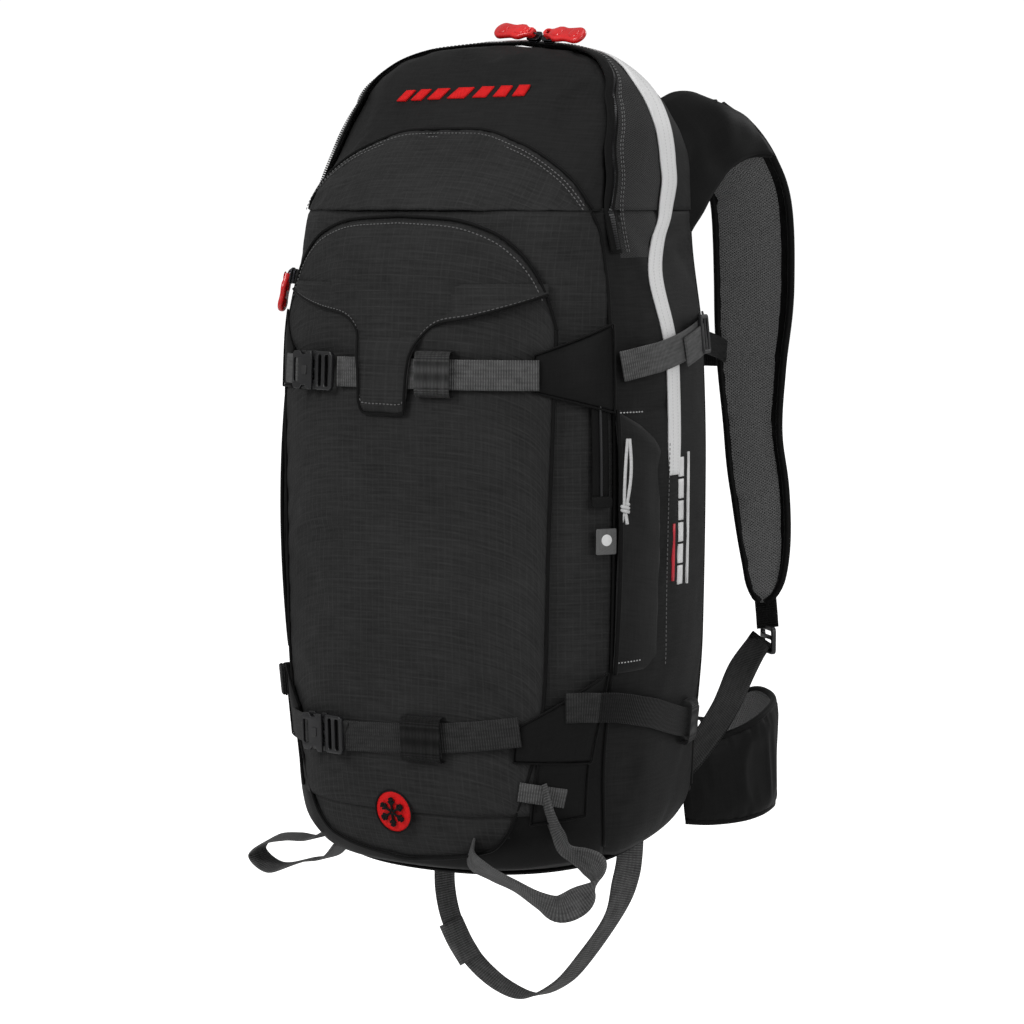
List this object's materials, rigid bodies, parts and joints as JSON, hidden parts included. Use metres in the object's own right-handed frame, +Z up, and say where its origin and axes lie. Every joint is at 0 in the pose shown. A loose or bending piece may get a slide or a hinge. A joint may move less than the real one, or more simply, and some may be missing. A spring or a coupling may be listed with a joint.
{
  "type": "avalanche airbag backpack",
  "caption": "Ski-touring backpack with an airbag folded behind a burst zip round its crown, padded harness, hip belt, compression straps and a gas release worked by a strap handle.",
  "frame": {"origin": "inside top of the haul loop, where a peg carries the hanging pack", "axes": "+Z up the pack, +Y towards the wearer, +X to the wearer's right"},
  "size_m": [0.3226, 0.367, 0.6711],
  "materials": {
    "black_cloth": "plain woven nylon, matt",
    "ripstop_cloth": "ripstop nylon with a fine raised grid",
    "stretch_cloth": "stretch fabric, fine knit",
    "burst_tape": "woven tape with stitching",
    "airbag_cloth": "coated nylon",
    "zip_coil": "moulded coil under a cloth flap",
    "back_padding": "moulded foam under knitted mesh",
    "strap_padding": "foam with knitted mesh and bound edges",
    "belt_padding": "foam with knitted mesh and bound edges",
    "stay_metal": "drawn rod",
    "grey_webbing": "ribbed polyamide webbing",
    "black_webbing": "ribbed polyamide webbing",
    "clip_plastic": "moulded, fine texture",
    "cord": "braided",
    "slider_metal": "black coated",
    "red_pull": "moulded, glossy",
    "red_handle": "moulded, satin",
    "head_metal": "machined, anodised",
    "cartridge_metal": "drawn, lacquered",
    "cable_sheath": "extruded"
  },
  "bodies": {
    "pack": {"front_panel": "black_cloth", "front_pocket": "ripstop_cloth", "tool_pocket": "ripstop_cloth", "side_panel_left": "black_cloth", "side_panel_right": "black_cloth", "base_panel": "black_cloth", "airbag_channel": "black_cloth", "burst_zip": "burst_tape", "folded_airbag": "airbag_cloth", "main_zip": "zip_coil", "back_panel": "back_padding", "back_wall": "black_cloth", "frame_stay": "stay_metal", "haul_loop": "grey_webbing", "shoulder_yoke": "strap_padding", "upper_strap": "grey_webbing", "upper_clip_female": "clip_plastic", "lower_strap": "black_webbing", "lower_clip_female": "clip_plastic", "upper_side_strap_left": "grey_webbing", "upper_side_strap_right": "grey_webbing", "lower_side_strap_left": "black_webbing", "lower_side_strap_right": "black_webbing", "side_pocket_left": "stretch_cloth", "side_pocket_right": "stretch_cloth", "pocket_cord": "cord", "tool_loop_left": "grey_webbing", "tool_loop_right": "grey_webbing", "leg_loop": "grey_webbing", "lower_webbing_left": "black_webbing", "lower_webbing_right": "black_webbing", "inflation_head": "head_metal", "release_cable": "cable_sheath"},
    "top_flap": {"lid_panel": "black_cloth", "front_pocket_top": "ripstop_cloth"},
    "main_zip_left_slider": {"main_zip_left_slider": "slider_metal"},
    "main_zip_left_pull": {"main_zip_left_pull": "red_pull"},
    "main_zip_right_slider": {"main_zip_right_slider": "slider_metal"},
    "main_zip_right_pull": {"main_zip_right_pull": "red_pull"},
    "tool_zip_slider": {"tool_zip_slider": "slider_metal"},
    "tool_zip_pull": {"tool_zip_pull": "red_pull"},
    "upper_clip_fork": {"upper_clip_male": "clip_plastic"},
    "lower_clip_fork": {"lower_clip_male": "clip_plastic"},
    "strap_left": {"shoulder_strap_left": "strap_padding", "ladder_lock_left": "clip_plastic", "sternum_webbing_left": "black_webbing", "sternum_clip_female": "clip_plastic"},
    "strap_right": {"shoulder_strap_right": "strap_padding", "ladder_lock_right": "clip_plastic", "sternum_webbing_right": "black_webbing"},
    "sternum_clip_fork": {"sternum_clip_male": "clip_plastic"},
    "trigger_handle": {"trigger_handle": "red_handle"},
    "puncture_pin": {"puncture_pin": "head_metal"},
    "gas_cartridge": {"gas_cartridge": "cartridge_metal"},
    "wing_left": {"hip_wing_left": "belt_padding", "hip_webbing_left": "black_webbing", "hip_clip_female": "clip_plastic"},
    "wing_right": {"hip_wing_right": "belt_padding", "hip_webbing_right": "black_webbing", "hip_clip_male": "clip_plastic"}
  },
  "joints": [
    {"name": "top_flap_fold", "type": "hinge", "parent": "pack", "child": "top_flap", "pos_m": [0, -0.205, -0.108], "axis": [1, 0, 0], "range_deg": [0, 80]},
    {"name": "main_zip_right_run", "type": "hinge", "parent": "pack", "child": "main_zip_right_slider", "pos_m": [0, -0.2983, -0.1283], "axis": [0, 0.5475, -0.8368], "range_deg": [0, 10]},
    {"name": "main_zip_right_pull_flip", "type": "hinge", "parent": "main_zip_right_slider", "child": "main_zip_right_pull", "pos_m": [0.04026, -0.0929, 0.01126], "axis": [-0.1584, -0.6982, -0.6982], "range_deg": [0, 110]},
    {"name": "main_zip_left_run", "type": "hinge", "parent": "pack", "child": "main_zip_left_slider", "pos_m": [0, -0.2983, -0.1283], "axis": [0, -0.5475, 0.8368], "range_deg": [0, 24]},
    {"name": "main_zip_left_pull_flip", "type": "hinge", "parent": "main_zip_left_slider", "child": "main_zip_left_pull", "pos_m": [0.02676, -0.09095, 0.0123], "axis": [0.1523, 0.6989, 0.6989], "range_deg": [0, 110]},
    {"name": "tool_zip_run", "type": "slide", "parent": "pack", "child": "tool_zip_slider", "axis": [-0.1266, -0.0407, -0.9911], "range_m": [0, 0.06]},
    {"name": "tool_zip_pull_flip", "type": "hinge", "parent": "tool_zip_slider", "child": "tool_zip_pull", "pos_m": [-0.13649, -0.15393, -0.15296], "axis": [-0.3368, 0.9416, 0], "range_deg": [0, 110]},
    {"name": "upper_clip_release", "type": "slide", "parent": "pack", "child": "upper_clip_fork", "axis": [0.9689, -0.2473, 0], "range_m": [0, 0.02]},
    {"name": "lower_clip_release", "type": "slide", "parent": "pack", "child": "lower_clip_fork", "axis": [0.9738, -0.2276, 0], "range_m": [0, 0.02]},
    {"name": "shoulder_strap_left_swing", "type": "hinge", "parent": "pack", "child": "strap_left", "pos_m": [0, 0.027, -0.038], "axis": [1, 0, 0], "range_deg": [0, 14], "deforming": ["lower_webbing_left"]},
    {"name": "shoulder_strap_right_swing", "type": "hinge", "parent": "pack", "child": "strap_right", "pos_m": [0, 0.027, -0.038], "axis": [1, 0, 0], "range_deg": [0, 14], "deforming": ["lower_webbing_right"]},
    {"name": "sternum_clip_release", "type": "slide", "parent": "strap_right", "child": "sternum_clip_fork", "axis": [1, 0, 0], "range_m": [0, 0.02]},
    {"name": "trigger_pull", "type": "slide", "parent": "strap_left", "child": "trigger_handle", "axis": [0, 0.1961, -0.9806], "range_m": [0, 0.05]},
    {"name": "puncture_pin_drive", "type": "slide", "parent": "pack", "child": "puncture_pin", "axis": [0, 0, -1], "range_m": [0, 0.012]},
    {"name": "cartridge_unscrew", "type": "hinge", "parent": "pack", "child": "gas_cartridge", "pos_m": [-0.06, -0.064, -0.26], "axis": [0, 0, 1], "continuous": true},
    {"name": "hip_wing_left_swing", "type": "hinge", "parent": "pack", "child": "wing_left", "pos_m": [-0.092, 0.002, -0.512], "axis": [0, 0, 1], "range_deg": [0, 40]},
    {"name": "hip_wing_right_swing", "type": "hinge", "parent": "pack", "child": "wing_right", "pos_m": [0.092, 0.002, -0.512], "axis": [0, 0, -1], "range_deg": [0, 40]}
  ],
  "couplings": [
    {"joint": "shoulder_strap_right_swing", "follows": "shoulder_strap_left_swing", "ratio": 1},
    {"joint": "puncture_pin_drive", "follows": "trigger_pull", "ratio": 0.24}
  ]
}
